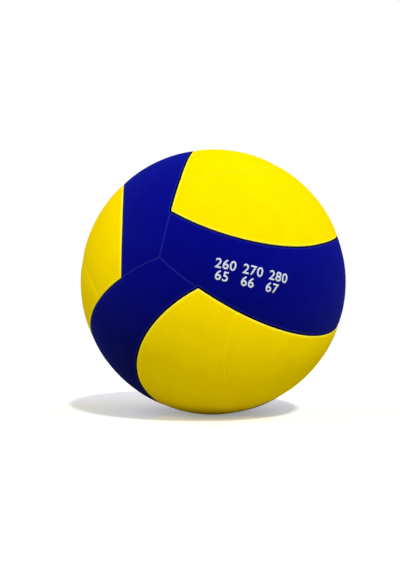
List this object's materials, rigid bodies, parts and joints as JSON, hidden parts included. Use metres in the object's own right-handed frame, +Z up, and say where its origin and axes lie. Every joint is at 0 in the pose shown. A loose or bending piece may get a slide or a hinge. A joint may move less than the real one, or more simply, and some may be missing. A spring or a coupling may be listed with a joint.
{
  "type": "volleyball",
  "caption": "Indoor volleyball with blue and yellow swirled panels glued over a wound rubber carcass, and a needle valve.",
  "frame": {"origin": "centre of the ball", "axes": "+Z up as the ball lies in the picture, -Y towards the viewer, +X to the viewer's right"},
  "size_m": [0.21, 0.21, 0.21],
  "materials": {
    "blue_leather": "matt microfibre synthetic leather",
    "yellow_leather": "matt microfibre synthetic leather",
    "foam": "closed-cell foam",
    "rubber": "moulded rubber",
    "thread": "wound nylon thread",
    "butyl": "smooth butyl rubber",
    "valve_rubber": "matt moulded rubber",
    "valve_plug": "soft rubber"
  },
  "bodies": {
    "root": {"blue_blade_skin_1": "blue_leather", "blue_blade_skin_2": "blue_leather", "blue_blade_skin_3": "blue_leather", "blue_crescent_skin_1": "blue_leather", "blue_crescent_skin_2": "blue_leather", "blue_crescent_skin_3": "blue_leather", "blue_wedge_skin_1": "blue_leather", "blue_wedge_skin_2": "blue_leather", "blue_wedge_skin_3": "blue_leather", "yellow_blade_skin_1": "yellow_leather", "yellow_blade_skin_2": "yellow_leather", "yellow_blade_skin_3": "yellow_leather", "yellow_crescent_skin_1": "yellow_leather", "yellow_crescent_skin_2": "yellow_leather", "yellow_crescent_skin_3": "yellow_leather", "yellow_wedge_skin_1": "yellow_leather", "yellow_wedge_skin_2": "yellow_leather", "yellow_wedge_skin_3": "yellow_leather", "blue_blade_foam_1": "foam", "blue_blade_foam_2": "foam", "blue_blade_foam_3": "foam", "blue_crescent_foam_1": "foam", "blue_crescent_foam_2": "foam", "blue_crescent_foam_3": "foam", "blue_wedge_foam_1": "foam", "blue_wedge_foam_2": "foam", "blue_wedge_foam_3": "foam", "yellow_blade_foam_1": "foam", "yellow_blade_foam_2": "foam", "yellow_blade_foam_3": "foam", "yellow_crescent_foam_1": "foam", "yellow_crescent_foam_2": "foam", "yellow_crescent_foam_3": "foam", "yellow_wedge_foam_1": "foam", "yellow_wedge_foam_2": "foam", "yellow_wedge_foam_3": "foam", "rubber_carcass": "rubber", "nylon_winding": "thread", "bladder": "butyl", "valve_housing": "valve_rubber", "valve_plug": "valve_plug"}
  },
  "joints": []
}
